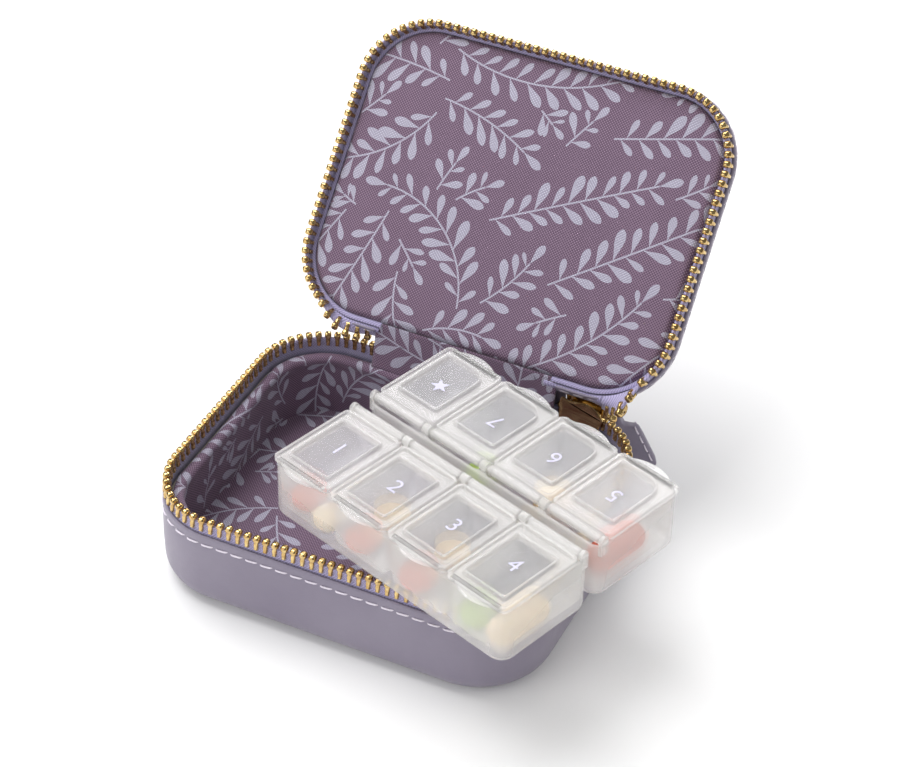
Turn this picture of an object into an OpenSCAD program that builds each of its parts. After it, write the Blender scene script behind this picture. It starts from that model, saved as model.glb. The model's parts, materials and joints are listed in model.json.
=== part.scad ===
// Travel pill organizer: a zipped leather case with a lined lid, and a lidded pill box on its rim.
// Units mm. +Z up. Origin at the centre of the case's underside. The lid hinge is on the +Y side.

/* [Case] */
// Length of the zip loop along the hinge side
case_length = 100; // [80:1:140]
// Depth of the zip loop from front to hinge
case_depth = 79; // [60:1:110]
// Corner radius of the zip loop
corner_radius = 18; // [14:1:26]
// Height of the base teeth's heads above the ground
zip_height = 27.75; // [24:0.25:34]
// Leather thickness
leather = 0.85; // [0.6:0.05:1.5]
// Height of the leather wall of the base
wall_height = 21.4; // [18:0.2:26]
// Bottom edge radius
edge_radius = 6; // [3:0.5:8]
// Closed height of the whole case
closed_height = 37.5; // [35:0.5:46]
// Angle the lid stands open from closed
lid_open = 133; // [0:1:135]

/* [Zip] */
// Pitch of the teeth on one side
tooth_pitch = 2.47; // [2:0.01:3]
// Width of one tooth along the tape
tooth_width = 1.5; // [1:0.05:1.7]
// Left end of the chain at the hinge
chain_left = -26; // [-30:1:-20]
// Right end of the chain at the hinge
chain_right = 24.5; // [20:0.5:30]

/* [Stitching] */
// Stitch pitch
stitch_pitch = 4; // [3:0.1:5]
// Stitch length
stitch_length = 3.1; // [2:0.1:4]

/* [Pill box] */
// Length over both end walls
box_length = 75.3; // [70:0.1:84]
// Width over both rows
box_width = 60.5; // [50:0.5:66]
// Height of the tray walls
tray_height = 16; // [12:0.5:20]
// Wall thickness
tray_wall = 1.1; // [0.8:0.1:1.6]
// Turn of the box on the case
box_yaw = -18.6; // [-30:0.1:0]
// Box centre, left to right
box_x = 26.3; // [20:0.1:30]
// Box centre, front to back
box_y = -13.4; // [-20:0.1:0]

/* [Hidden] */
$fn = 48;
hl = case_length / 2;
hd = case_depth / 2;
R = corner_radius;
cx = hl - R;
cy = hd - R;
lo = 0.32;
co = lo + leather;
axis_y = 39.1;
axis_z = 33.6;
mirror_z = 2 * zip_height + 0.8;
box_z = zip_height + 0.1;
pitch_u = box_length / 4;
bar_y = 3.4;
bar_z = 16.9;

// ---------- building aids ----------
// One straight wall: side 0 right, 1 rear, 2 left, 3 front. Profile x points outward.
module side(q, from, to) {
  rotate([0, 0, q * 90])
    translate([q % 2 == 0 ? hl : hd, (from + to) / 2, 0])
      rotate([90, 0, 0])
        linear_extrude(height = to - from, center = true)
          children();
}

// One corner: 0 rear right, 1 rear left, 2 front left, 3 front right.
module corner(q) {
  translate([(q == 0 || q == 3) ? cx : -cx, q < 2 ? cy : -cy, 0])
    rotate([0, 0, q * 90])
      rotate_extrude(angle = 90, $fn = 64)
        translate([R, 0])
          children();
}

// Whole loop but for the rear wall, which runs from -x to each given end.
module loop(rear) {
  side(0, -cy, cy) children();
  side(2, -cy, cy) children();
  side(3, -cx, cx) children();
  corner(0) children();
  corner(1) children();
  corner(2) children();
  corner(3) children();
  for (e = rear) {
    side(1, -e[1], -e[0]) children();
  }
}

// Solid plate with the loop's outline moved out by g.
module plate(g, z0, z1) {
  translate([0, 0, z0])
    linear_extrude(height = z1 - z0)
      union() {
        square([2 * (hl + g), 2 * cy], center = true);
        square([2 * cx, 2 * (hd + g)], center = true);
        for (sx = [-1, 1]) {
          for (sy = [-1, 1]) {
            translate([sx * cx, sy * cy]) circle(r = R + g, $fn = 96);
          }
        }
      }
}

// Places children along the loop, clockwise from the chain's right end; s in mm.
arc = PI * R / 2;
l1 = cx - chain_right;
l2 = l1 + arc;
l3 = l2 + 2 * cy;
l4 = l3 + arc;
l5 = l4 + 2 * cx;
l6 = l5 + arc;
l7 = l6 + 2 * cy;
l8 = l7 + arc;
l9 = l8 + cx + chain_left;
// Angle of the outward normal at s.
function turn(s) =
  s < l1 ? 90 :
  s < l2 ? 90 - 90 * (s - l1) / arc :
  s < l3 ? 0 :
  s < l4 ? -90 * (s - l3) / arc :
  s < l5 ? -90 :
  s < l6 ? -90 - 90 * (s - l5) / arc :
  s < l7 ? -180 :
  s < l8 ? -180 - 90 * (s - l7) / arc : -270;
function px(s) =
  s < l1 ? chain_right + s :
  s < l2 ? cx + R * cos(turn(s)) :
  s < l3 ? hl :
  s < l4 ? cx + R * cos(turn(s)) :
  s < l5 ? cx - (s - l4) :
  s < l6 ? -cx + R * cos(turn(s)) :
  s < l7 ? -hl :
  s < l8 ? -cx + R * cos(turn(s)) : -cx + (s - l8);
function py(s) =
  s < l1 ? hd :
  s < l2 ? cy + R * sin(turn(s)) :
  s < l3 ? cy - (s - l2) :
  s < l4 ? -cy + R * sin(turn(s)) :
  s < l5 ? -hd :
  s < l6 ? -cy + R * sin(turn(s)) :
  s < l7 ? -cy + (s - l6) :
  s < l8 ? cy + R * sin(turn(s)) : hd;
module on_loop(s) {
  translate([px(s), py(s), 0])
    rotate([0, 0, turn(s)])
      children();
}

module lid_pose() {
  translate([0, axis_y, axis_z])
    rotate([-lid_open, 0, 0])
      translate([0, -axis_y, -axis_z])
        children();
}

// Tooth section across the tape, with the slot that grips it.
module tooth_section() {
  polygon([[-1.1, 24.3], [-0.8, 23.9], [-0.34, 23.9], [-0.34, 25.3], [0.34, 25.3], [0.34, 23.9],
    [0.8, 23.9], [1.1, 24.3], [1.1, 25.7], [0.8, 26.15], [1, 26.6], [1, 27.3], [0.55, 27.75],
    [-0.55, 27.75], [-1, 27.3], [-1, 26.6], [-0.8, 26.15], [-1.1, 25.7]]);
}

module tooth() {
  translate([0, 0, zip_height - 27.75])
    rotate([90, 0, 0])
      linear_extrude(height = tooth_width, center = true)
        tooth_section();
}

module stitch(g, z) {
  translate([g + 0.3, 0, z])
    rotate([90, 0, 0])
      cylinder(h = stitch_length, r = 0.24, center = true, $fn = 16);
}

// ---------- base of the case ----------
// Leather wall section: turned bottom edge and rounded top edge.
module cover_section() {
  translate([lo, edge_radius]) square([leather, wall_height - edge_radius - leather / 2]);
  translate([lo + leather / 2, wall_height - leather / 2]) circle(r = leather / 2, $fn = 24);
  intersection() {
    translate([co - edge_radius, edge_radius]) difference() {
      circle(r = edge_radius, $fn = 64);
      circle(r = edge_radius - leather, $fn = 64);
    }
    translate([co - edge_radius, 0]) square([edge_radius, edge_radius]);
  }
}

module base_cover() {
  color([0.50, 0.46, 0.57]) {
    loop([[-cx, cx]]) cover_section();
    plate(co - edge_radius, 0, leather);
  }
}

// Stiff board between the leather and the lining.
module base_board() {
  color([0.75, 0.72, 0.66]) {
    loop([[-cx, cx]])
      polygon([[-0.36, 4.6], [-0.36, 20.4], [-1.1, 20.4], [-1.1, 4.6]]);
    plate(co - edge_radius, leather + 0.02, leather + 1);
  }
}

// Padded wall lining with a rolled rim.
module wall_lining() {
  color([0.36, 0.26, 0.38])
    loop([[-cx, cx]]) {
      union() {
        translate([-2.9, 4.1]) square([1.75, 17.2]);
        translate([-2.75, 21.2]) circle(r = 1.55, $fn = 32);
      }
    }
}

module floor_lining() {
  color([0.36, 0.26, 0.38])
    plate(-1.9, leather + 1.05, leather + 3.2);
}

module base_tape() {
  color([0.62, 0.58, 0.76])
    loop([[-cx, chain_left + 1.5], [chain_right - 1.5, cx]])
      translate([-0.3, 14]) square([0.6, 11.25]);
}

module base_teeth() {
  color([0.80, 0.62, 0.25])
    for (s = [tooth_pitch / 2 : tooth_pitch : l9]) {
      on_loop(s) tooth();
    }
}

module base_stitching() {
  color([0.88, 0.86, 0.92]) {
    for (s = [stitch_pitch / 2 : stitch_pitch : l9 - chain_left + chain_right - 1]) {
      if (s < l9) {
        on_loop(s) stitch(co, 18.7);
      } else {
        translate([chain_left + (s - l9), hd, 0]) rotate([0, 0, 90]) stitch(co, 18.7);
      }
    }
  }
}

// ---------- hinge ----------
module hinge_leather() {
  color([0.50, 0.46, 0.57])
    translate([chain_left, hd + lo + 0.15, wall_height + 0.05])
      cube([chain_right - chain_left, leather, 9.4]);
}

module hinge_lining() {
  color([0.36, 0.26, 0.38])
    translate([chain_left, hd - 1.75, wall_height + 1])
      cube([chain_right - chain_left, 0.7, 12.3]);
}

// ---------- lid ----------
module lid_section() {
  translate([lo, 33]) square([leather, closed_height - 2.5 - 33]);
  intersection() {
    translate([co - 2.5, closed_height - 2.5]) difference() {
      circle(r = 2.5, $fn = 48);
      circle(r = 2.5 - leather, $fn = 48);
    }
    translate([co - 2.5, closed_height - 2.5]) square([2.5, 2.5]);
  }
}

module lid_cover() {
  color([0.50, 0.46, 0.57])
    lid_pose()
      difference() {
        union() {
          loop([[-cx, cx]]) lid_section();
          plate(co - 2.5, closed_height - leather, closed_height);
        }
        translate([chain_left, hd - 0.5, 30])
          cube([chain_right - chain_left, 4, closed_height]);
      }
}

module lid_board() {
  color([0.75, 0.72, 0.66])
    lid_pose()
      plate(-1.4, closed_height - leather - 1.05, closed_height - leather - 0.05);
}

// Padded panel with a rolled edge.
module lid_lining() {
  color([0.42, 0.31, 0.43])
    lid_pose() {
      loop([[-cx, cx]])
        translate([-3.3, 33.4]) circle(r = 1.7, $fn = 32);
      plate(-3.3, 31.7, 35.1);
    }
}

module lid_tape() {
  color([0.62, 0.58, 0.76])
    lid_pose()
      difference() {
        loop([[-cx, chain_left - 0.05], [chain_right + 0.05, cx]])
          translate([-0.3, 31.1]) square([0.6, 3.85]);
        translate([chain_right - 3, hd - 3, 30]) cube([16.5, 6, 1.9]);
      }
}

module lid_teeth() {
  color([0.80, 0.62, 0.25])
    lid_pose()
      for (s = [6 * tooth_pitch : tooth_pitch : l9]) {
        on_loop(s) translate([0, 0, mirror_z]) mirror([0, 0, 1]) tooth();
      }
}

module lid_stitching() {
  color([0.88, 0.86, 0.92])
    lid_pose()
      for (s = [stitch_pitch / 2 : stitch_pitch : l9]) {
        on_loop(s) stitch(co - 0.02, 34.2);
      }
}

// ---------- slider and pull ----------
// Sits over the base teeth at the start of the rear right corner.
sx0 = cx;
sy0 = hd - 0.43;
// Plate outline seen from behind: wide nose at +X, narrow tail at -X.
module slider_outline(top) {
  polygon([[-5.5, 23.3], [3.6, 23.3], [5, 24.4], [6.05, 27.2], [6, 28], [4.6, 29.7],
    [3, top - 0.4], [0.8, top], [-1.6, top - 0.4], [-3.6, top - 0.4], [-5.5, top]]);
}

module slider_body() {
  color([0.83, 0.66, 0.28])
    translate([sx0, sy0, 0]) {
      translate([0, 2.5, 0]) rotate([90, 0, 0]) linear_extrude(height = 0.65) slider_outline(30.5);
      translate([0, -2.02, 0]) rotate([90, 0, 0]) linear_extrude(height = 0.5) slider_outline(31.5);
      translate([-2, -2.2, 27.9]) cube([6, 4.2, 0.6]);
      translate([-5.5, 1, 23.3]) cube([9, 1, 0.45]);
      translate([-5.5, -2.2, 23.3]) cube([9, 1, 0.45]);
    }
}

module slider_bridge() {
  color([0.83, 0.66, 0.28])
    translate([sx0, sy0 + 2.52, 27.2])
      difference() {
        translate([-3.5, 0, -1.1]) cube([8.6, 2.6, 2.2]);
        translate([-2.4, -0.1, -1.5]) cube([6.4, 1.85, 3]);
      }
}

// Ring hung through the bridge, turned a little outward.
rx = sx0 + 2.3;
ry = sy0 + 3.35;
ring_r = 3.5;
module ring_pose() {
  translate([rx, ry, 27.1])
    rotate([0, 0, 22])
      children();
}

module pull_ring() {
  color([0.83, 0.66, 0.28])
    ring_pose()
      translate([ring_r, 0, 0])
        rotate([90, 0, 0])
          rotate_extrude($fn = 64)
            translate([ring_r, 0]) circle(r = 0.6, $fn = 24);
}

module tab_pose() {
  ring_pose()
    translate([ring_r, 0, 0])
      rotate([0, -25, 0])
        translate([0, 0, -ring_r])
          children();
}

// Folded leather strip: a loop round the ring and two layers pressed together.
module pull_tab() {
  color([0.50, 0.46, 0.57])
    tab_pose()
      difference() {
        union() {
          rotate([0, 90, 0]) cylinder(h = 2.2, r = 1.75, center = true, $fn = 32);
          translate([-1.1, -1.1, -3.2]) cube([2.2, 2.2, 3.2]);
          translate([-4.4, -1.1, -15.6]) cube([8.8, 2.2, 12.6]);
          translate([0, 0, -15.6]) rotate([90, 0, 0])
            cylinder(h = 2.2, r = 4.4, center = true, $fn = 64);
        }
        rotate([0, 90, 0]) cylinder(h = 3, r = 0.85, center = true, $fn = 32);
      }
}

module tab_stitching() {
  color([0.88, 0.86, 0.92])
    tab_pose()
      for (sy = [-1, 1]) {
        for (sx = [-1, 1]) {
          for (k = [0:3]) {
            translate([sx * 3.5, sy * 1.35, -5 - k * 3.1])
              cylinder(h = 2.3, r = 0.22, center = true, $fn = 12);
          }
        }
      }
}

// ---------- pill box ----------
row_w = (box_width - 1.6) / 2;
module box_pose() {
  translate([box_x, box_y, box_z])
    rotate([0, 0, box_yaw])
      children();
}

// Row frame: x along the row, y from the centre line outward (near row), mirrored by turning.
module near_row() {
  box_pose() rotate([0, 0, 180]) children();
}

module far_row() {
  box_pose() children();
}

// Rounded tray outline, inset by g.
module tray_outline(g) {
  translate([0, 0.8 + row_w / 2])
    union() {
      square([box_length - 2 * g - 8, row_w - 2 * g], center = true);
      square([box_length - 2 * g, row_w - 2 * g - 8], center = true);
      for (sx = [-1, 1]) {
        for (sy = [-1, 1]) {
          translate([sx * (box_length / 2 - g - 4), sy * (row_w / 2 - g - 4)])
            circle(r = 4, $fn = 64);
        }
      }
    }
}

// Layered bottom edge: a bevelled foot under straight walls.
module tray() {
  difference() {
    union() {
      translate([0, 0, 0]) linear_extrude(height = 0.5) tray_outline(1.5);
      translate([0, 0, 0.5]) linear_extrude(height = 0.6) tray_outline(0.7);
      translate([0, 0, 1.1]) linear_extrude(height = 0.9) tray_outline(0.25);
      translate([0, 0, 2]) linear_extrude(height = tray_height - 2) tray_outline(0);
      // hinge ears between the flaps
      for (k = [0:4]) {
        translate([k * pitch_u - box_length / 2 - (k == 0 ? -0.2 : k == 4 ? 1.4 : 1.1), 0, 0]) {
          translate([0, bar_y, bar_z]) rotate([0, 90, 0])
            cylinder(h = k % 4 == 0 ? 1.2 : 2.2, r = 1.35, $fn = 32);
          translate([0, bar_y - 1.35, 12]) cube([k % 4 == 0 ? 1.2 : 2.2, 2.7, bar_z - 12]);
        }
      }
    }
    for (k = [0:3]) {
      translate([(k - 1.5) * pitch_u, 0.8 + row_w / 2, 1.3])
        translate([0, 0, 10]) cube([pitch_u - 1.3, row_w - 2 * tray_wall, 20], center = true);
      // clearance for the hinge barrel
      translate([(k - 1.5) * pitch_u - pitch_u / 2 + 1.4, bar_y - 1.7, bar_z - 1.7])
        cube([pitch_u - 2.8, 3.4, 4]);
      translate([(k - 1.5) * pitch_u - pitch_u / 2 + 0.2, bar_y, bar_z]) rotate([0, 90, 0])
        cylinder(h = pitch_u - 0.4, r = 0.65, $fn = 24);
    }
  }
  // dovetail tabs that hold the two rows together
  translate([box_length / 2 - 9, 0.02, 5]) cube([4, 0.9, 6]);
  translate([-box_length / 2 + 14, 0.02, 5]) cube([4, 0.9, 6]);
}

module tray_near() {
  color([0.86, 0.87, 0.88]) near_row() tray();
}

module tray_far() {
  color([0.86, 0.87, 0.88]) far_row() tray();
}

// One compartment lid: barrel, plate, border, window ridge and thumb lip.
fw = pitch_u - 0.5;
fy1 = 0.8 + row_w - 0.3;
module flap(k) {
  translate([(k - 1.5) * pitch_u, 0, 0]) {
    difference() {
      union() {
        translate([-fw / 2, bar_y + 1.6, tray_height + 0.1]) cube([fw, fy1 - bar_y - 1.6, 0.9]);
        translate([-(pitch_u - 3.4) / 2, bar_y, tray_height + 0.1])
          cube([pitch_u - 3.4, 2, 0.9]);
        // border round the plate
        translate([-fw / 2, bar_y + 1.6, tray_height + 0.9])
          cube([fw, fy1 - bar_y - 1.6, 0.5]);
        // window ridge
        translate([-fw / 2 + 2.4, bar_y + 4, tray_height + 0.5])
          cube([fw - 4.8, fy1 - bar_y - 7.4, 1.8]);
        // thumb lip
        intersection() {
          translate([0, fy1 - 9.2, tray_height + 0.1]) cylinder(h = 1.2, r = 11, $fn = 64);
          translate([-fw / 2 + 1.2, fy1 - 2, tray_height]) cube([fw - 2.4, 5, 2]);
        }
      }
      translate([-fw / 2 + 0.8, bar_y + 2.4, tray_height + 1])
        difference() {
          cube([fw - 1.6, fy1 - bar_y - 3.2, 2]);
          translate([1.6, 1.6, -1]) cube([fw - 4.8, fy1 - bar_y - 7.4, 4]);
        }
      translate([-fw / 2 + 3.2, bar_y + 4.8, tray_height + 1])
        cube([fw - 6.4, fy1 - bar_y - 9, 3]);
    }
    translate([0, bar_y, bar_z]) rotate([0, 90, 0])
      cylinder(h = pitch_u - 3.4, r = 1.2, center = true, $fn = 32);
    translate([0, bar_y, bar_z]) rotate([0, 90, 0])
      cylinder(h = pitch_u - 0.8, r = 0.6, center = true, $fn = 24);
  }
}

module flap_near_1() { color([0.90, 0.91, 0.92]) near_row() flap(3); }
module flap_near_2() { color([0.90, 0.91, 0.92]) near_row() flap(2); }
module flap_near_3() { color([0.90, 0.91, 0.92]) near_row() flap(1); }
module flap_near_4() { color([0.90, 0.91, 0.92]) near_row() flap(0); }
module flap_far_1() { color([0.90, 0.91, 0.92]) far_row() flap(0); }
module flap_far_2() { color([0.90, 0.91, 0.92]) far_row() flap(1); }
module flap_far_3() { color([0.90, 0.91, 0.92]) far_row() flap(2); }
module flap_far_4() { color([0.90, 0.91, 0.92]) far_row() flap(3); }

// Round tablet with domed faces, on the compartment floor.
module round_tablet(r, h) {
  intersection() {
    cylinder(h = h, r = r, $fn = 48);
    translate([0, 0, h / 2 - 3.2 * r + h / 2]) sphere(r = 3.2 * r, $fn = 96);
    translate([0, 0, 3.2 * r]) sphere(r = 3.2 * r, $fn = 96);
  }
}

module caplet(l, r) {
  translate([0, 0, r]) {
    rotate([0, 90, 0]) cylinder(h = l - 2 * r, r = r, center = true, $fn = 48);
    translate([-l / 2 + r, 0, 0]) sphere(r = r, $fn = 48);
    translate([l / 2 - r, 0, 0]) sphere(r = r, $fn = 48);
  }
}

// Positions are in the box frame: u along the box, v across (near side negative).
module in_box(u, v) {
  box_pose() translate([u, v, 1.35]) children();
}

module tablets_coral() {
  color([0.85, 0.45, 0.36]) {
    in_box(-32, -23) round_tablet(4.2, 4.4);
    in_box(-12.5, -24) round_tablet(4.3, 4.4);
    in_box(5.5, -24) round_tablet(4.4, 4.6);
  }
}

module tablets_cream() {
  color([0.93, 0.85, 0.70]) {
    in_box(-23.5, -24.4) round_tablet(4, 4);
    in_box(-12.8, -14.5) round_tablet(4.4, 4.4);
    in_box(6, -13.5) round_tablet(4.2, 4.2);
    in_box(9.5, 17) round_tablet(4.6, 4.2);
  }
}

module tablet_green() {
  color([0.66, 0.80, 0.42]) {
    in_box(23.6, -23) round_tablet(4.1, 4.6);
    in_box(-9, 12) round_tablet(4, 4.2);
  }
}

module caplet_cream() {
  color([0.93, 0.87, 0.74]) in_box(32.4, -19.5) rotate([0, 0, 90]) caplet(17.5, 3.6);
}

module caplet_coral() {
  color([0.85, 0.45, 0.36]) in_box(31.5, 14.5) rotate([0, 0, 90]) caplet(17.5, 3.8);
}

base_cover();
base_board();
wall_lining();
floor_lining();
base_tape();
base_teeth();
base_stitching();
hinge_leather();
hinge_lining();
lid_cover();
lid_board();
lid_lining();
lid_tape();
lid_teeth();
lid_stitching();
slider_body();
slider_bridge();
pull_ring();
pull_tab();
tab_stitching();
tray_near();
tray_far();
flap_near_1();
flap_near_2();
flap_near_3();
flap_near_4();
flap_far_1();
flap_far_2();
flap_far_3();
flap_far_4();
tablets_coral();
tablets_cream();
tablet_green();
caplet_cream();
caplet_coral();
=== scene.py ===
import json
import random
from math import copysign, cos, dist, exp, hypot, pi, radians, sin, sqrt

import bmesh
import bpy
import numpy as np
from mathutils import Matrix, Vector
from mathutils.geometry import delaunay_2d_cdt


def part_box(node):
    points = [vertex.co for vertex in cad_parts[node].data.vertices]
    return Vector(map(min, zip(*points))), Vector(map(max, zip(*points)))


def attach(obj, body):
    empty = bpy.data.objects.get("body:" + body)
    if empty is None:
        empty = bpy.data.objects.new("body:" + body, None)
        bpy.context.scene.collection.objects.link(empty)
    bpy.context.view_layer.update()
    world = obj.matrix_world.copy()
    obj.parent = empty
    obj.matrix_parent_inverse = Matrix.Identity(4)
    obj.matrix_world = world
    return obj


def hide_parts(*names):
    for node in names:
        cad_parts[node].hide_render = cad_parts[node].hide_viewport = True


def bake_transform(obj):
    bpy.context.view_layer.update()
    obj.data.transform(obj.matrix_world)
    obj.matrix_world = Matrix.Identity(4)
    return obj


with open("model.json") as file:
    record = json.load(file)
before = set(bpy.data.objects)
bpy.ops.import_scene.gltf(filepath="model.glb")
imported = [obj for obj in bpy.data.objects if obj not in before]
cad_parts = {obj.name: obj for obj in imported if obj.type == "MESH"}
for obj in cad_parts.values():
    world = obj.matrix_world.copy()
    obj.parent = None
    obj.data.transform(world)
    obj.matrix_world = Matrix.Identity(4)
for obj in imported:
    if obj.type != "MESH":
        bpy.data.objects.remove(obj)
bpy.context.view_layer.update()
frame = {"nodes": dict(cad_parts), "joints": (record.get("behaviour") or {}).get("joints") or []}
mm = 0.001
scene = bpy.context.scene
scene.view_settings.view_transform = "Standard"


def link(name, data):
    ob = bpy.data.objects.new(name, data)
    scene.collection.objects.link(ob)
    return ob


# ------------------------------------------------------------------ camera
azimuth, elevation, roll = radians(24.6), radians(38.67), radians(1.58)
DISTANCE, AIM_RIGHT, AIM_UP = 687.96, 12.92, 40.74
back = Vector((sin(azimuth) * cos(elevation), -cos(azimuth) * cos(elevation), sin(elevation)))
right = Vector((cos(azimuth), sin(azimuth), 0))
up = back.cross(right)
cam_right = right * cos(roll) + up * sin(roll)
cam_up = -right * sin(roll) + up * cos(roll)
cam = link("camera", bpy.data.cameras.new("camera"))
cam.data.sensor_width = 36
cam.data.lens = 110.25
cam.data.clip_start, cam.data.clip_end = 0.01, 20
place_of_camera = (back * DISTANCE + cam_right * AIM_RIGHT + cam_up * AIM_UP) * mm
turn_of_camera = Matrix((cam_right, cam_up, back)).transposed().to_4x4()
cam.matrix_world = Matrix.Translation(place_of_camera) @ turn_of_camera
scene.camera = cam

# ------------------------------------------------------------------ sizes, in mm, mostly from the frame
TAPE_HALF = 0.3  # half the CAD tape's thickness
tape_low, tape_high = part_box("base_tape")
HL, HD = tape_high.x / mm - TAPE_HALF, -tape_low.y / mm - TAPE_HALF  # half length and depth of the zip loop
R = 18.0  # its corner radius
CX, CY = HL - R, HD - R  # its corners' centres
LO, CO = 0.32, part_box("base_cover")[1].x / mm - HL  # inner and outer face of the leather, from the loop
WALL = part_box("base_cover")[1].z / mm
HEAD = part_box("base_teeth")[1].z / mm
XL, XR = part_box("hinge_leather")[0].x / mm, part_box("hinge_leather")[1].x / mm  # ends of the hinge
joints = {j["name"]: j for j in frame["joints"]}
HY, HZ = [v / mm for v in joints["lid_hinge"]["pos_m"][1:]]
OPEN = -joints["lid_hinge"]["range_deg"][0]
PITCH = 2.47  # of the teeth
TOP = 37.5  # height of the closed case
ARC = pi * R / 2
# stations where the loop's straights and corners meet, clockwise from the hinge's right end
L1 = CX - XR
L2 = L1 + ARC
L3 = L2 + 2 * CY
L4 = L3 + ARC
L5 = L4 + 2 * CX
L6 = L5 + ARC
L7 = L6 + 2 * CY
L8 = L7 + ARC
L9 = L8 + CX + XL
TOTAL = L9 + XR - XL
CORNERS = ((L1, L2, CX, CY, 90), (L3, L4, CX, -CY, 0), (L5, L6, -CX, -CY, -90), (L7, L8, -CX, CY, -180))


def at(s):
    """Point and outward direction on the zip loop at station s."""
    s = s % TOTAL
    if s < L1:
        return XR + s, HD, 90.0
    for a, b, cx, cy, start in CORNERS:
        if a <= s < b:
            t = start - 90 * (s - a) / ARC
            return cx + R * cos(radians(t)), cy + R * sin(radians(t)), t
    if s < L3:
        return HL, CY - (s - L2), 0.0
    if s < L5:
        return CX - (s - L4), -HD, -90.0
    if s < L7:
        return -HL, -CY + (s - L6), -180.0
    if s < L9:
        return -CX + (s - L8), HD, -270.0
    return XL + (s - L9), HD, -270.0


def on(s, off, z):
    """The point off outward from the loop at station s, at height z."""
    x, y, t = at(s)
    t = radians(t)
    return (x + off * cos(t), y + off * sin(t), z)


def stops(a, b, step=2.0, fine=1.15):
    """Loop stations from a to b, closer together on the corners."""
    marks = [a] + [m for m in (L1, L2, L3, L4, L5, L6, L7, L8, L9) if a < m < b] + [b]
    out = []
    for p, q in zip(marks, marks[1:]):
        corner = any(m <= (p + q) / 2 < n for m, n, *_ in CORNERS)
        n = max(1, round((q - p) / (fine if corner else step)))
        out += [p + (q - p) * i / n for i in range(n)]
    return out + [b]


def loop(off, step=2.0, fine=1.15):
    """Points (x, y) round the whole loop moved out by off."""
    return [on(s, off, 0)[:2] for s in stops(0, TOTAL, step, fine)[:-1]]


def swing(p, w):
    """A closed-lid point carried the share w of the way to the open lid."""
    turn = Matrix.Rotation(radians(-OPEN * w), 4, "X")
    return tuple((Matrix.Translation((0, HY, HZ)) @ turn @ Matrix.Translation((0, -HY, -HZ))) @ Vector(p))


def lid(p):
    return swing(p, 1)


# ------------------------------------------------------------------ mesh building
def make(name, verts, faces, mats, uv=None, index=None, smooth=True, flip=False):
    """An object from points in mm."""
    me = bpy.data.meshes.new(name)
    if flip:
        faces = [f[::-1] for f in faces]
    me.from_pydata([tuple(c * mm for c in v) for v in verts], [], faces)
    for m in mats if isinstance(mats, list) else [mats]:
        me.materials.append(m)
    if index is not None:
        me.polygons.foreach_set("material_index", index)
    if uv is not None:
        layer = me.uv_layers.new(name="UVMap")
        for corner in me.loops:
            layer.data[corner.index].uv = uv[corner.vertex_index]
    me.polygons.foreach_set("use_smooth", [smooth] * len(me.polygons))
    me.update()
    return link(name, me)


def place(ob, body, slot, *nodes):
    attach(ob, body)
    if nodes:
        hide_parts(*nodes)
    return ob


def sharp(ob, angle):
    """Keeps edges hard in smooth shading where faces meet at more than angle."""
    bm = bmesh.new()
    bm.from_mesh(ob.data)
    for e in bm.edges:
        if len(e.link_faces) == 2 and e.calc_face_angle(0) > radians(angle):
            e.smooth = False
    bm.to_mesh(ob.data)
    bm.free()
    return ob


def grid(rows, close_u=False, close_v=False):
    """Vertices and faces of a grid of points: rows[i][j]."""
    n, m = len(rows), len(rows[0])
    verts = [p for r in rows for p in r]
    faces = []
    for i in range(n if close_u else n - 1):
        for j in range(m if close_v else m - 1):
            a, b = i * m + j, i * m + (j + 1) % m
            c, d = ((i + 1) % n) * m + (j + 1) % m, ((i + 1) % n) * m + j
            faces.append((a, d, c, b))
    return verts, faces


def caps(verts, n):
    """The first and last face of a closed grid whose rows have n points."""
    last = len(verts) - 1
    return [tuple(range(n)), tuple(range(last, last - n, -1))]


def lengths(path):
    """How far along a path each of its points is."""
    out = [0.0]
    for a, b in zip(path, path[1:]):
        out.append(out[-1] + dist(a, b))
    return out


def along(path, run, v):
    """The point at length v of a path whose points are at the lengths run."""
    i = max(0, min(len(path) - 2, int(np.searchsorted(run, v)) - 1))
    t = (v - run[i]) / (run[i + 1] - run[i])
    return [a + t * (b - a) for a, b in zip(path[i], path[i + 1])]


def join(parts):
    """[(verts, faces, index), ...] to one mesh."""
    verts, faces, index = [], [], []
    for v, f, i in parts:
        base = len(verts)
        verts += v
        faces += [tuple(base + k for k in g) for g in f]
        index += i
    return verts, faces, index


def sweep(name, profile, s0, s1, mat, shape=None, close=False, thick=False):
    """A profile [(off, z), ...] run along the loop; shape moves each point."""
    st = stops(s0, s1)
    if close:
        st = st[:-1]
    verts, faces = grid([[on(s, o, z) for o, z in profile] for s in st], close_u=close, close_v=thick)
    if thick:
        faces += caps(verts, len(profile))
    if shape:
        verts = [shape(p) for p in verts]
    return make(name, verts, faces, mat, uv=[(s, t) for s in st for t in lengths(profile)])


def arc(cx, cy, r, a0, a1, n):
    turns = [radians(a0 + (a1 - a0) * i / n) for i in range(n + 1)]
    return [(cx + r * cos(t), cy + r * sin(t)) for t in turns]


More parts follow.
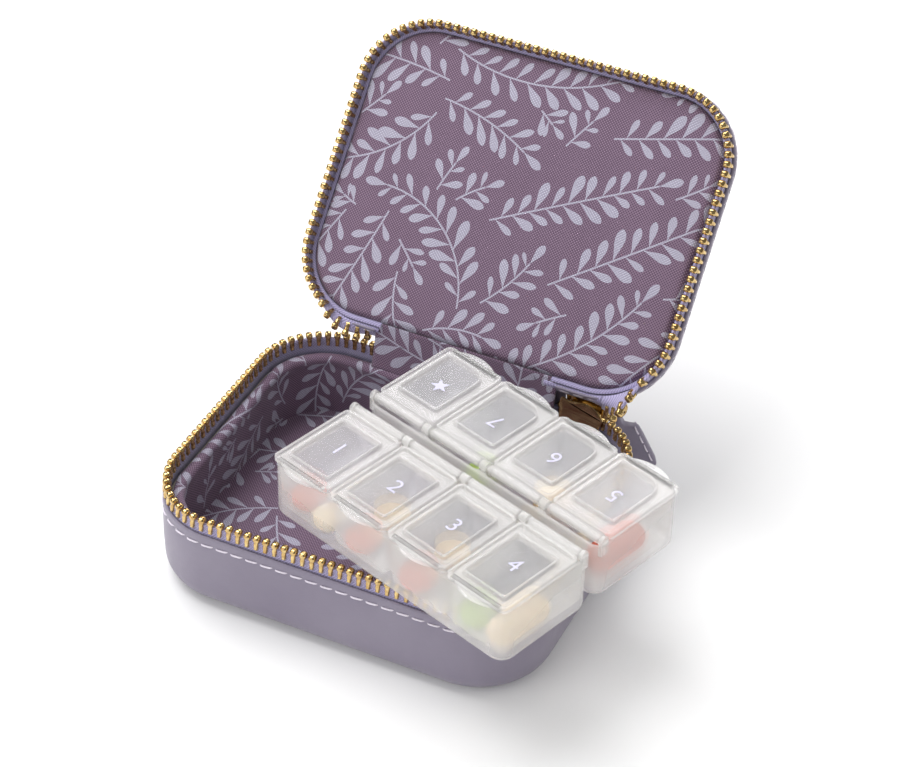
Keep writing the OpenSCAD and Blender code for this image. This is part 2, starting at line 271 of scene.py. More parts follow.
# ------------------------------------------------------------------ materials
class Look:
    """A material under way, with short calls for its nodes."""

    def __init__(self, name):
        self.material = bpy.data.materials.new(name)
        self.material.use_nodes = True
        self.tree = self.material.node_tree
        self.shader = self.tree.nodes["Principled BSDF"]

    def node(self, kind, sockets=(), **settings):
        n = self.tree.nodes.new(kind)
        for key, value in settings.items():
            setattr(n, key, value)
        self.fill(n, dict(sockets))
        return n

    def fill(self, node, sockets):
        """Sets a node's own sockets: a link for another node's output, a constant otherwise."""
        for key, value in sockets.items():
            if isinstance(value, bpy.types.NodeSocket):
                self.tree.links.new(value, node.inputs[key])
            else:
                node.inputs[key].default_value = value

    def shade(self, sockets):
        self.fill(self.shader, sockets)
        return self.material

    def math(self, op, *values, clamp=False):
        return self.node("ShaderNodeMath", enumerate(values), operation=op, use_clamp=clamp).outputs[0]

    def uv(self):
        uv = self.node("ShaderNodeUVMap", uv_map="UVMap").outputs[0]
        parts = self.node("ShaderNodeSeparateXYZ", {0: uv}).outputs
        return uv, parts[0], parts[1]

    def where(self):
        return self.node("ShaderNodeTexCoord").outputs["Object"]

    def noise(self, where, scale, detail=3.0, rough=0.5):
        sockets = {"Vector": where, "Scale": scale, "Detail": detail, "Roughness": rough}
        return self.node("ShaderNodeTexNoise", sockets).outputs[0]

    def ramp(self, value, *levels):
        """Grey levels [(position, level), ...] along a value."""
        n = self.node("ShaderNodeValToRGB", {0: value})
        for element, (position, level) in zip(n.color_ramp.elements, levels):
            element.position = position
            element.color = (level, level, level, 1)
        return n.outputs[0]

    def mix(self, share, a, b):
        a, b = ((*c, 1) if isinstance(c, tuple) else c for c in (a, b))
        return self.node("ShaderNodeMix", {"Factor": share, 6: a, 7: b}, data_type="RGBA").outputs[2]

    def bump(self, height, strength, distance, below=None):
        n = self.node("ShaderNodeBump", {"Strength": strength, "Distance": distance, "Height": height})
        if below is not None:
            self.fill(n, {"Normal": below})
        return n.outputs[0]


def srgb(r, g, b):
    shares = (c / 255 for c in (r, g, b))
    return tuple(c / 12.92 if c <= 0.04045 else ((c + 0.055) / 1.055) ** 2.4 for c in shares)


def times(color, factor):
    return tuple(min(1, c * factor) for c in color)


def leather(name, light, dark):
    k = Look(name)
    where = k.where()
    cloud = k.noise(where, 45, 2)
    mottle = k.noise(where, 260, 4, 0.6)
    color = k.mix(k.ramp(cloud, (0.3, 0), (0.75, 1)), dark, light)
    color = k.mix(k.math("MULTIPLY", mottle, 0.25), color, times(light, 0.72))
    pebble = k.node("ShaderNodeTexVoronoi", {"Vector": where, "Scale": 2300}, feature="SMOOTH_F1")
    grain = k.bump(pebble.outputs["Distance"], 0.22, 0.00012)
    grain = k.bump(k.noise(where, 4200, 2), 0.12, 0.00006, grain)
    return k.shade({
        "Base Color": color, "Roughness": k.math("MULTIPLY_ADD", mottle, 0.22, 0.36),
        "Specular IOR Level": 0.45, "Sheen Weight": 0.12, "Sheen Roughness": 0.5,
        "Normal": k.bump(mottle, 0.25, 0.0003, grain)})


def weave(name, warp, weft, blotch=0.25, gap_shade=0.5, under=None):
    """Plain weave at real scale; UV is in millimetres. The gaps between threads get painted shade: the color
    under, or else the weft darkened to 0.3.
    """
    thread = 0.40
    k = Look(name)
    uv, u, v = k.uv()
    waves = [k.math("SINE", k.math("MULTIPLY", axis, pi / thread)) for axis in (u, v)]
    over = k.math("MULTIPLY", *waves)
    slub = k.noise(uv, 3.1, 2, 0.7)
    edge = k.math("ABSOLUTE", over)
    color = k.mix(k.math("MULTIPLY_ADD", over, 3.0, 0.5, clamp=True), weft, warp)
    # painted shade: the gaps between threads are darkened towards the color under
    gap_shade_mask = k.ramp(edge, (0.0, 1), (0.55, 0))
    color = k.mix(k.math("MULTIPLY", gap_shade_mask, gap_shade), color, under or times(weft, 0.3))
    color = k.mix(k.math("MULTIPLY", slub, blotch), color, times(warp, 1.5))
    color = k.mix(k.math("MULTIPLY", k.noise(uv, 0.07, 2), 0.18), color, times(weft, 0.6))
    height = k.math("ADD", edge, k.math("MULTIPLY", slub, 0.5))
    return k.shade({
        "Base Color": color, "Roughness": 0.8, "Specular IOR Level": 0.25, "Sheen Weight": 0.2,
        "Sheen Roughness": 0.4, "Normal": k.bump(height, 0.7, 0.00008)})


def herringbone(name, light, dark):
    """Zip tape; UV is in millimetres."""
    k = Look(name)
    uv, u, v = k.uv()
    band = k.math("PINGPONG", v, 1.3)
    slope = k.math("ADD", k.math("MULTIPLY", u, 8.2), k.math("MULTIPLY", band, 8.2))
    twill = k.math("MULTIPLY_ADD", k.math("SINE", slope), 0.5, 0.5)
    fuzz = k.noise(uv, 4.5, 2, 0.7)
    color = k.mix(k.math("MULTIPLY", fuzz, 0.3), k.mix(twill, dark, light), times(light, 1.25))
    height = k.math("ADD", twill, k.math("MULTIPLY", fuzz, 0.4))
    return k.shade({
        "Base Color": color, "Roughness": 0.72, "Sheen Weight": 0.3, "Normal": k.bump(height, 0.8, 0.00012)})


def metal(name, light, dark, rough):
    k = Look(name)
    where = k.where()
    fine = k.noise(where, 900, 3)
    return k.shade({
        "Base Color": k.mix(k.ramp(fine, (0.35, 0), (0.7, 1)), dark, light), "Metallic": 1.0,
        "Roughness": k.math("MULTIPLY_ADD", k.noise(where, 180, 2), 0.16, rough),
        "Normal": k.bump(fine, 0.12, 0.00004)})


def plastic(name, color, alpha, rough, trans):
    k = Look(name)
    where = k.where()
    cloud = k.noise(where, 120, 2)
    return k.shade({
        "Base Color": k.mix(cloud, times(color, 0.97), color),
        "Roughness": k.math("MULTIPLY_ADD", cloud, 0.10, rough), "Alpha": alpha, "Transmission Weight": trans,
        "IOR": 1.16, "Specular IOR Level": 0.5, "Coat Weight": 0.35, "Coat Roughness": 0.16, "Coat IOR": 1.45,
        "Normal": k.bump(k.noise(where, 1500, 2), 0.05, 0.00004)})


def chalk(name, color, speck):
    k = Look(name)
    where = k.where()
    grain = k.noise(where, 1600, 3, 0.7)
    spotted = k.mix(k.ramp(grain, (0.55, 0), (0.75, 1)), color, speck)
    cloud = k.math("MULTIPLY", k.noise(where, 250, 2), 0.3)
    return k.shade({
        "Base Color": k.mix(cloud, spotted, times(color, 0.85)), "Roughness": 0.62,
        "Subsurface Weight": 0.1, "Subsurface Radius": (0.002, 0.001, 0.0007),
        "Normal": k.bump(grain, 0.3, 0.00005)})


def plain(name, light, dark, rough):
    k = Look(name)
    cloud = k.noise(k.where(), 700, 3)
    return k.shade({
        "Base Color": k.mix(cloud, dark, light), "Roughness": rough, "Normal": k.bump(cloud, 0.3, 0.0001)})


LEATHER = leather("leather_lavender", srgb(138, 131, 147), srgb(127, 119, 137))
# painted shade: PLUM_SHADE is the plum cloth as it looks in shadow, painted into the leaf print's thread
# gaps; the plum's own gaps get its weft darkened as painted shade
PLUM_SHADE = srgb(84, 66, 88)
PLUM = weave("lining_plum", srgb(144, 121, 142), srgb(80, 61, 81), gap_shade=0.6)
LEAF = weave("lining_leaf", srgb(196, 195, 210), srgb(158, 154, 174), blotch=0.3, gap_shade=1.0, under=PLUM_SHADE)
TAPE = herringbone("tape_lilac", srgb(180, 172, 208), srgb(128, 120, 158))
GOLD = metal("gold", srgb(228, 202, 142), srgb(190, 154, 98), 0.09)
MIRROR = metal("gold_mirror", srgb(206, 174, 124), srgb(186, 152, 104), 0.05)
THREAD = plain("thread", srgb(238, 232, 240), srgb(208, 200, 214), 0.7)
BOARD = plain("board", srgb(205, 198, 186), srgb(180, 172, 158), 0.85)
MILK = plastic("milky", (0.97, 0.96, 0.94), 0.44, 0.10, 0.38)
FLAP = plastic("flap_milky", (0.97, 0.96, 0.95), 0.50, 0.12, 0.50)
CLEAR = plastic("window", (0.93, 0.94, 0.97), 0.36, 0.12, 0.70)
PRINT = plain("print_pale", srgb(204, 202, 224), srgb(194, 192, 216), 0.5)
CORAL = chalk("tablet_coral", srgb(206, 98, 74), srgb(226, 130, 104))
CREAM = chalk("tablet_cream", srgb(236, 210, 170), srgb(248, 230, 200))
GREEN = chalk("tablet_green", srgb(172, 200, 96), srgb(196, 218, 130))


# ------------------------------------------------------------------ leather covers
def smooth(t):
    t = max(0.0, min(1.0, t))
    return t * t * (3 - 2 * t)


def rise(p):
    """The base cover's upper edge: 1.5 mm higher along the zip than under the hinge leather."""
    x, y, z = p
    hinge = smooth((x - XL + 5) / 4) * smooth((XR + 6.5 - x) / 4) if y > CY else 0
    return x, y, z + 1.5 * smooth((z - 12) / 6) * (1 - hinge * smooth((z - 18.9) / 2.3))


FOOT_R, LID_R = 6, 2.5  # roundings of the base's foot and of the lid's top edge
wall = arc(CO - FOOT_R, FOOT_R, FOOT_R, -90, 0, 10)
wall += [(CO + 0.10, 9), (CO + 0.16, 12), (CO + 0.12, 15), (CO + 0.02, 17.3), (CO - 0.10, 18.3)]
wall += [(CO - 0.14, 18.7), (CO - 0.10, 19.1), (CO, 19.8), (CO, 20.6), (CO - 0.05, 21.0), (CO - 0.2, 21.3)]
wall += [(CO - 0.43, WALL), (LO + 0.15, 21.3), (LO, 21.0), (LO, 19.0)]
cover = sweep("base_leather", wall, 0, TOTAL, LEATHER, shape=rise, close=True)
foot = [(x, y, 0) for x, y in loop(CO - FOOT_R)]
under = make("base_underside", foot, [tuple(range(len(foot)))], LEATHER, smooth=False)
place(cover, "base", "leather", "base_cover")
place(under, "base", "leather", "base_cover")

rim = [(LO, 35.2), (LO, 33.4), (LO + 0.12, 33.1), (LO + 0.43, 33.0), (CO - 0.2, 33.1), (CO, 33.4), (CO, 33.8)]
rim += [(CO - 0.12, 34.2), (CO, 34.7)] + arc(CO - LID_R, TOP - LID_R, LID_R, 0, 90, 8)
lid_rim = sweep("lid_leather", rim, 0, L9, LEATHER, shape=lid)
BACK = HD - 0.4  # the lid's top ends here at the hinge
top_ring = [lid((x, min(y, BACK), TOP)) for x, y in loop(CO - LID_R)]
lid_top = make("lid_top", top_ring, [tuple(range(len(top_ring)))], LEATHER, smooth=False)
place(lid_rim, "lid", "leather", "lid_cover")
place(lid_top, "lid", "leather", "lid_cover")

# ------------------------------------------------------------------ leaf print
LEAF_SIDE = ((0.0, 0.05), (0.14, 0.22), (0.32, 0.52), (0.5, 0.82), (0.66, 1.0), (0.8, 0.95), (0.92, 0.66),
             (1.0, 0.18))
STEM_HALF = 0.24
CLEARANCE = 1.8  # between sprigs
FULL_PRINT = ((46, 1.0, 200), (30, 1.0, 400), (18, 0.95, 700), (9, 0.85, 900), (4.4, 0.75, 900))
WALL_PRINT = ((30, 0.95, 500), (18, 0.9, 900), (9, 0.85, 1200), (4.6, 0.75, 900))
BAND_PRINT = ((22, 0.95, 300), (11, 0.9, 500), (5, 0.8, 500))


def leaf(x, y, a, length, width):
    """A drop-shaped leaf that grows from (x, y) along angle a."""
    side = [(t * length, w * width / 2) for t, w in LEAF_SIDE]
    c, s = cos(a), sin(a)
    return [(x + p * c - q * s, y + p * s + q * c) for p, q in side + [(p, -q) for p, q in reversed(side)]]


def sprig(x, y, a, length, bend, rng, size):
    """Stem and leaf outlines of one sprig, with points to keep others away from."""
    pairs = max(2, round(length / (4.6 * size)))
    steps = pairs * 3
    stem = []
    for _ in range(steps + 1):
        stem.append((x, y, a))
        x += cos(a) * length / steps
        y += sin(a) * length / steps
        a += bend / steps
    outline = [(px - STEM_HALF * sin(t), py + STEM_HALF * cos(t)) for px, py, t in stem]
    outline += [(px + STEM_HALF * sin(t), py - STEM_HALF * cos(t)) for px, py, t in reversed(stem)]
    out, keep = [outline], [(px, py) for px, py, _ in stem]
    for i in range(1, pairs + 1):
        for side in (-1, 1):
            px, py, heading = stem[min(i * 3 - (1 if side < 0 else 2), steps)]
            reach = (5.0 + 2.2 * sin(pi * (i / pairs))) * size * rng.uniform(0.8, 1.15)
            t = heading + side * radians(rng.uniform(44, 58))
            out.append(leaf(px + 0.2 * cos(t), py + 0.2 * sin(t), t, reach, reach * rng.uniform(0.29, 0.38)))
            keep += [(px + reach * share * cos(t), py + reach * share * sin(t)) for share in (0.9, 0.5)]
    px, py, t = stem[-1]
    out.append(leaf(px, py, t, 6.2 * size, 2.3 * size))
    keep.append((px + 6 * size * cos(t), py + 6 * size * sin(t)))
    return out, keep


def scatter(u0, u1, v0, v1, seed, sizes=FULL_PRINT):
    """Sprigs thrown over a region, each kept clear of the ones before; sizes are (length, scale, throws)."""
    rng = random.Random(seed)
    polys, taken = [], np.zeros((0, 2))
    for length, size, tries in sizes:
        for _ in range(tries):
            x, y = rng.uniform(u0 - 4, u1 + 4), rng.uniform(v0 - 4, v1 + 4)
            heading = rng.uniform(0, 2 * pi)
            reach = length * rng.uniform(0.85, 1.1)
            bend = rng.uniform(-1, 1) * min(1.5, length * 0.045)
            out, keep = sprig(x, y, heading, reach, bend, rng, size)
            k = np.array(keep)
            if len(taken) and np.min(np.linalg.norm(k[:, None] - taken[None], axis=2)) < CLEARANCE:
                continue
            inside = (k[:, 0] > u0) & (k[:, 0] < u1) & (k[:, 1] > v0) & (k[:, 1] < v1)
            if inside.mean() < 0.4:
                continue
            polys += out
            taken = np.vstack([taken, k])
    return polys


def ccw(poly):
    area = sum(a[0] * b[1] - b[0] * a[1] for a, b in zip(poly, poly[1:] + poly[:1]))
    return poly if area > 0 else poly[::-1]


def printed(name, outline, extra, polys, surface, flip=False):
    """A lining panel cut along the print's outlines, so each leaf is its own faces."""
    outline = ccw(list(outline))
    verts = [Vector(p) for p in outline]
    faces = [list(range(len(outline)))]
    low, high = np.array(outline).min(0), np.array(outline).max(0)
    for poly in polys:
        q = np.array(poly)
        if (q.max(0) < low).any() or (q.min(0) > high).any():
            continue
        faces.append(list(range(len(verts), len(verts) + len(poly))))
        verts += [Vector(p) for p in ccw(poly)]
    verts += [Vector(p) for p in extra]
    flat, _, cut, _, _, ids = delaunay_2d_cdt(verts, [], faces, 0, 1e-4)
    keep = [(f, 1 if any(i > 0 for i in d) else 0) for f, d in zip(cut, ids) if 0 in d]
    used = sorted({i for f, _ in keep for i in f})
    new = {old: i for i, old in enumerate(used)}
    uv = [(flat[i].x, flat[i].y) for i in used]
    faces = [tuple(new[i] for i in f) for f, _ in keep]
    index = [i for _, i in keep]
    return make(name, [surface(*p) for p in uv], faces, [PLUM, LEAF], uv=uv, index=index, flip=flip)


# ------------------------------------------------------------------ linings
def depth(x, y, g):
    """Distance inside the loop moved out by g."""
    hx, hy, r = HL + g, HD + g, R + g
    dx, dy = abs(x) - (hx - r), abs(y) - (hy - r)
    if dx > 0 and dy > 0:
        return r - hypot(dx, dy)
    return min(hx - abs(x), hy - abs(y))


rng = random.Random(5)
waves = [(rng.uniform(-1, 1) * 0.09, rng.uniform(-1, 1) * 0.12, rng.uniform(0, 6.28)) for _ in range(7)]


def soft(x, y):
    """A gentle unevenness of padded cloth, within about 1."""
    return sum(sin(a * x * 1.3 + b * y * 1.3 + c) for a, b, c in waves) / 7


LG = -1.6  # edge of the lid's panel, from the loop
FACE = 31.7  # height of its face in the closed case
EDGE_R = 1.7  # rounding of its edge


def lid_face(x, y):
    d = depth(x, y, LG)
    z = FACE + (EDGE_R - sqrt(max(0, EDGE_R * EDGE_R - (EDGE_R - min(d, EDGE_R)) ** 2)))
    z -= 0.35 * min(1, max(0, d) / 9) ** 0.7 + 0.12 * soft(x, y) * min(1, max(0, d) / 5)
    return lid((x, y, z))


rings = [p for g in (0.06, 0.2, 0.45, 0.8, 1.2, 1.7, 2.6) for p in loop(LG - g, 1.6, 0.9)]
field = [(x + j % 2, y) for x in np.arange(-46, 47, 2.0) for j, y in enumerate(np.arange(-36, 37, 1.8))
         if depth(x, y, LG) > 3.6]
lid_print = scatter(-HL, HL, -HD, HD, 11)
panel = printed("lid_lining_panel", loop(LG, 2.0, 1.0), rings + field, lid_print, lid_face, flip=True)
hem = [(LG, FACE + EDGE_R), (LG + 0.02, 34.0), (LG, 35.2)]
edge = sweep("lid_lining_edge", hem, 0, TOTAL, PLUM, shape=lid, close=True)
place(panel, "lid", "lining", "lid_lining")
place(edge, "lid", "lining", "lid_lining")

# base wall lining: floor edge, wall, rolled rim, outer side
wall_line = [(-2.95, 4.0), (-2.9, 6), (-2.95, 9), (-3.05, 12), (-3.1, 15), (-3.15, 17.5), (-3.4, 19.2)]
wall_line += arc(-2.75, 21.2, 1.5, 205, -20, 12) + [(-1.2, 19.5), (-1.15, 17.5)]
wall_run = lengths(wall_line)
ROLL_END = wall_run[-4]  # past it the lining is hidden, flat and without a print


def wall_face(s, v):
    off, z = along(wall_line, wall_run, v)
    ripple = 0.12 * sin(s * 0.23) * sin(v * 0.5) + 0.07 * sin(s * 0.9 + v)
    return on(s, off - (ripple if v < ROLL_END else 0), z)


S1 = TOTAL - 1e-6
strip = [(s, 0) for s in stops(0, S1)] + [(S1, v) for v in wall_run[1:]]
strip += [(s, wall_run[-1]) for s in stops(0, S1)[::-1][1:]] + [(0, v) for v in wall_run[::-1][1:-1]]
inside = [(s, v) for s in stops(0, S1, 1.8, 1.0)[1:-1] for v in wall_run[1:-1]]
wall_print = scatter(0, TOTAL, 0, ROLL_END, 23, WALL_PRINT)
wall_lining = printed("wall_lining", strip, inside, wall_print, wall_face)
place(wall_lining, "base", "lining", "wall_lining")

FLOOR_OFF = -2.9  # edge of the floor lining, from the loop


def floor_face(x, y):
    d = depth(x, y, FLOOR_OFF)
    return (x, y, 4.05 + 0.35 * min(1, max(0, d) / 6) + 0.1 * soft(x, y))


rings = [p for g in (0.8, 1.8) for p in loop(FLOOR_OFF - g, 2.2, 1.2)]
field = [(x, y) for x in np.arange(-46, 47, 2.4) for y in np.arange(-36, 37, 2.4)
         if depth(x, y, FLOOR_OFF) > 3]
floor_print = scatter(-HL, HL, -HD, HD, 31)
floor = printed("floor_lining", loop(FLOOR_OFF, 2.0, 1.0), rings + field, floor_print, floor_face)
place(floor, "base", "lining", "floor_lining")

# ------------------------------------------------------------------ hinge bands
BAND_THICK = 0.5


def bezier(points, n=20):
    """A cubic curve through the first and last of four points."""
    out = []
    for t in (i / n for i in range(n + 1)):
        c = [(1 - t) ** 3, 3 * t * (1 - t) ** 2, 3 * t * t * (1 - t), t ** 3]
        out.append(tuple(sum(a * p[i] for a, p in zip(c, points)) for i in (0, 1)))
    return out


def hang(ob, node):
    """Makes a band of cloth or leather thick, hides the CAD part it stands for and fixes its placement in its
    mesh.
    """
    thick = ob.modifiers.new("thick", "SOLIDIFY")
    thick.thickness = BAND_THICK * mm
    thick.offset = -1
    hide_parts(node)
    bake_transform(ob)


_, ey, ez = lid((0, BACK, TOP - 0.45))
path = bezier([(HD + CO - 0.02, 20.9), (HD + CO + 0.2, 26.0), (ey - 2.0, ez - 2.4), (ey + 0.15, ez + 0.1)])
run = lengths(path)
OUTER_XR = XR + 1.8  # the outer band ends further right, beside the slider
xs = [XL + (OUTER_XR - XL) * i / 26 for i in range(27)]
verts, faces = grid([[(x, *along(path, run, v)) for v in run] for x in xs])
outer = make("hinge_leather", verts, faces, LEATHER, uv=[(x, v) for x in xs for v in run])
hang(outer, "hinge_leather")

_, ey, ez = lid((0, HD + LG + 0.05, FACE + 1.5))
path = bezier([(HD - 2.9, 22.3), (HD - 1.7, 26.5), (ey - 1.3, ez - 5.0), (ey, ez)])
run = lengths(path)
xs = [XL + (XR - XL) * i / 34 for i in range(35)]


def band_face(x, v):
    y, z = along(path, run, v)
    return (x, y + 0.18 * sin(pi * v / run[-1]) * (sin(x * 0.19 + 1) + 0.6 * sin(x * 0.43)), z)


border = [(x, 0) for x in xs] + [(XR, v) for v in run[1:]]
border += [(XR - (XR - XL) * i / 34, run[-1]) for i in range(1, 35)] + [(XL, v) for v in run[-2:0:-1]]
inside = [(x, v) for x in xs[1:-1] for v in run[1:-1:2]]
band_print = scatter(XL, XR, 0, 14, 47, BAND_PRINT)
inner = printed("hinge_lining", border, inside, band_print, band_face, flip=True)
hang(inner, "hinge_lining")

# ------------------------------------------------------------------ zip tape
MZ = 2 * HEAD + 0.8  # the closed lid's zip is the base's mirrored: z becomes MZ - z
bead = [(0.4, 25.7), (0.34, 26.0), (0.0, 26.15), (-0.34, 26.0), (-0.4, 25.7)]
tape_line = [(0.28, 15.0), (0.28, 24.9), *bead, (-0.28, 24.9), (-0.28, 15.0)]
base_tape = sweep("base_tape", tape_line, -1.2, L9 + 1.2, TAPE, thick=True)
place(base_tape, "base", "tape", "base_tape")

NOSE = 12.6  # the slider's end, where the chain parts
RB = 28.0  # the chain's right part runs from NOSE to RB, and its left part from LA to LB
LA, LB = L9 - 17.0, L9


def chain_w(s):
    """How far the lid's chain has swung at s: 0 at its ends, 1 once it is on the lid."""
    if s < RB:
        return smooth((s - NOSE) / (RB - NOSE))
    if s > LA:
        return smooth((LB - s) / (LB - LA))
    return 1.0


def tape_w(s, z):
    w = chain_w(s)
    return w + (1 - w) * smooth((z - 31.2) / 2.6)


def fit_blend(ob):
    """Fixes a piece's placement in its mesh; it is bound to neither base nor lid."""
    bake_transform(ob)


TAPE_WALL = (34.95, 34.4, 33.6, 32.8, 32.1, 31.6)
lid_line = [(0.28, z) for z in TAPE_WALL] + [(o, MZ - z) for o, z in bead]
lid_line += [(-0.28, z) for z in TAPE_WALL[::-1]]
slider_line = [(o, max(z, 30.9)) for o, z in lid_line]


def lid_tape(name, s0, s1, profile, body=None):
    """A stretch of the lid's tape: rigid on a body, or else bent between base and lid."""
    st = stops(s0, s1, 1.6, 1.1)
    weights = [tape_w(s, z) for s in st for _, z in profile]
    verts, faces = grid([[swing(on(s, o, z), tape_w(s, z)) for o, z in profile] for s in st], close_v=True)
    uv = [(s, t) for s in st for t in lengths(profile)]
    ob = make(name, verts, faces + caps(verts, len(profile)), TAPE, uv=uv)
    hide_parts("lid_tape")
    if body:
        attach(ob, body)
    else:
        fit_blend(ob)


lid_tape("lid_tape", RB, LA, lid_line, "lid")
lid_tape("lid_tape_slider", -3.5, NOSE, slider_line)
lid_tape("lid_tape_right", NOSE, RB, lid_line)
lid_tape("lid_tape_left", LA, LB + 1.0, lid_line)
seam_line = [(LG + 0.03, 33.0), (LG + 0.3, 32.6), (-0.7, 32.5), (-0.27, 32.7)]
place(sweep("lid_tape_seam", seam_line, -1.5, L9 + 1.5, TAPE, shape=lid), "lid", "tape")

# ------------------------------------------------------------------ teeth
# half lengths and widths of a tooth, (z, across, along), from its shoulders up to its head
TOOTH = [(24.3, 1.08, 0.46), (25.2, 1.1, 0.54), (25.7, 1.06, 0.6), (26.0, 0.84, 0.56), (26.3, 0.86, 0.72),
         (26.65, 0.98, 0.86), (27.15, 1.0, 0.88), (27.45, 0.86, 0.76), (27.66, 0.6, 0.54), (27.74, 0.32, 0.3)]
LEG = [(0.36, 23.95), (0.8, 23.92), (1.06, 24.3), (1.06, 24.5), (0.36, 24.5)]
LEG_HALF = 0.42
NIB_Z = 26.98


def squarish(t, power):
    """Cosine and sine of t on a rounded square; a lower power is squarer."""
    c, s = cos(t), sin(t)
    return copysign(abs(c) ** power, c), copysign(abs(s) ** power, s)


def bridge_loops(bm, a, b):
    n = len(a)
    for i in range(n):
        bm.faces.new((a[i], a[(i + 1) % n], b[(i + 1) % n], b[i]))


def tooth_mesh():
    """One tooth, upright: x across the tape, y along it, z up."""
    bm = bmesh.new()
    turns = [squarish(2 * pi * (i + 0.5) / 16, 0.55) for i in range(16)]
    rows = [[bm.verts.new((hx * c, hy * s, z)) for c, s in turns] for z, hx, hy in TOOTH]
    for a, b in zip(rows, rows[1:]):
        bridge_loops(bm, a, b)
    bm.faces.new(rows[-1])
    for side in (-1, 1):
        a = [bm.verts.new((side * x, -LEG_HALF, z)) for x, z in LEG]
        b = [bm.verts.new((side * x, LEG_HALF, z)) for x, z in LEG]
        bm.faces.new(a)
        bm.faces.new(b[::-1])
        bridge_loops(bm, a, b)
    turns = [2 * pi * i / 10 for i in range(10)]
    nib = []
    for r, y in ((0.5, 0.66), (0.3, 0.86)):
        nib.append([bm.verts.new((r * 1.2 * cos(t), y, NIB_Z + r * sin(t))) for t in turns])
    bridge_loops(bm, *nib)
    bm.faces.new(nib[1])
    bmesh.ops.recalc_face_normals(bm, faces=bm.faces)
    verts = [tuple(v.co) for v in bm.verts]
    bm.verts.index_update()
    faces = [tuple(v.index for v in f.verts) for f in bm.faces]
    bm.free()
    return verts, faces


TOOTH_VERTS, TOOTH_FACES = tooth_mesh()


def chain(name, stations, node, flip, body=None):
    """Teeth at stations, upside down on the lid: rigid on a body, or else bent between base and lid."""
    verts, faces, weights = [], [], []
    for s in stations:
        x, y, t = at(s)
        c, n = cos(radians(t)), sin(radians(t))
        base = len(verts)
        for across, length, z in TOOTH_VERTS:
            if flip:
                length, z = -length, MZ - z
            p = (x + across * c - length * n, y + across * n + length * c, z)
            verts.append(swing(p, chain_w(s)) if flip else p)
        weights += [chain_w(s)] * len(TOOTH_VERTS)
        faces += [tuple(base + i for i in f) for f in TOOTH_FACES]
    ob = sharp(make(name, verts, faces, GOLD), 50)
    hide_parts(node)
    if body:
        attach(ob, body)
    else:
        fit_blend(ob)


def span(a, b, off=0.0):
    """Stations of the teeth between a and b."""
    out = []
    s = PITCH / 2 + off
    while s < b:
        if s >= a:
            out.append(s)
        s += PITCH
    return out


HALF = PITCH / 2
chain("base_teeth", span(0, L9), "base_teeth", False, "base")
chain("lid_teeth", span(RB, LA, HALF), "lid_teeth", True, "lid")
chain("lid_teeth_right", span(NOSE + 0.6, RB, HALF), "lid_teeth", True)
chain("lid_teeth_left", span(LA, LB, HALF), "lid_teeth", True)

# ------------------------------------------------------------------ stitching
STITCH, STEP = 3.55, 4


def thread(name, stitches, body, node):
    """Stitches, each a list of eight-sided rings."""
    parts = []
    for rows in stitches:
        verts, faces = grid(rows, close_v=True)
        parts.append((verts, faces + caps(verts, len(rows[0])), []))
    verts, faces, _ = join(parts)
    place(make(name, verts, faces, THREAD, flip=True), body, "thread", node)


def stitch(s, off, z, r, shape):
    """One stitch along the loop: level in the middle, with its ends sunk and a slight tilt."""
    x, y, t = at(s)
    c, n = cos(radians(t)), sin(radians(t))
    rows = []
    for i in range(9):
        q = -1 + i / 4
        run = q * STITCH / 2
        out = off + 0.16 - 0.42 * abs(q) ** 5
        rad = r * (1 - 0.35 * abs(q) ** 6) * (1 + 0.05 * sin(i * 2.4))
        row = []
        for g in (2 * pi * j / 8 for j in range(8)):
            o = out + rad * cos(g)
            row.append(shape((x + o * c - run * n, y + o * n + run * c, z + rad * sin(g) + 0.16 * q)))
        rows.append(row)
    return rows


base_row = [2 + STEP * i for i in range(int((TOTAL - 1) / STEP))]
lid_row = [2 + STEP * i for i in range(int(L9 / STEP))]
thread("base_stitching", [stitch(s, CO - 0.1, 18.7, 0.23, rise) for s in base_row], "base", "base_stitching")
thread("lid_stitching", [stitch(s, CO - 0.1, 34.2, 0.2, lid) for s in lid_row], "lid", "lid_stitching")

# ------------------------------------------------------------------ slider
SX, SY = CX, HD - 0.43  # the slider's centre
RIM, RIM_SLOPE, SUNK = 0.55, 0.12, 0.14  # raised rim of the slider's plates


def bm_object(name, bm, mats, offset=(0, 0, 0)):
    me = bpy.data.meshes.new(name)
    for v in bm.verts:
        v.co = (v.co + Vector(offset)) * mm
    for f in bm.faces:
        f.smooth = True
    bm.to_mesh(me)
    bm.free()
    for m in mats:
        me.materials.append(m)
    return sharp(link(name, me), 45)


def slider_part(name, bm, mats, node="slider_body", y=0):
    place(bm_object(name, bm, mats, (SX, SY + y, 0)), "slider", "zip_metal", node)


def slider_plan(top, n=4):
    """Outline of a plate as (x, z): a closed Catmull-Rom curve."""
    pts = [(-5.4, 23.5), (0, 23.4), (3.5, 23.45), (5.0, 24.5), (6.0, 27.2), (5.95, 28.0), (4.6, 29.75)]
    pts += [(3.0, top - 0.45), (0.8, top - 0.05), (-1.4, top - 0.42), (-3.5, top - 0.42), (-5.35, top - 0.1)]
    pts += [(-5.5, 27.4)]
    out = []
    for i in range(len(pts)):
        p0, p1, p2, p3 = (Vector(pts[(i + k - 1) % len(pts)]) for k in range(4))
        a, b, c = p2 - p0, 2 * p0 - 5 * p1 + 4 * p2 - p3, 3 * p1 - p0 - 3 * p2 + p3
        out += [tuple(0.5 * (2 * p1 + a * t + b * t * t + c * t ** 3)) for t in (j / n for j in range(n))]
    return out


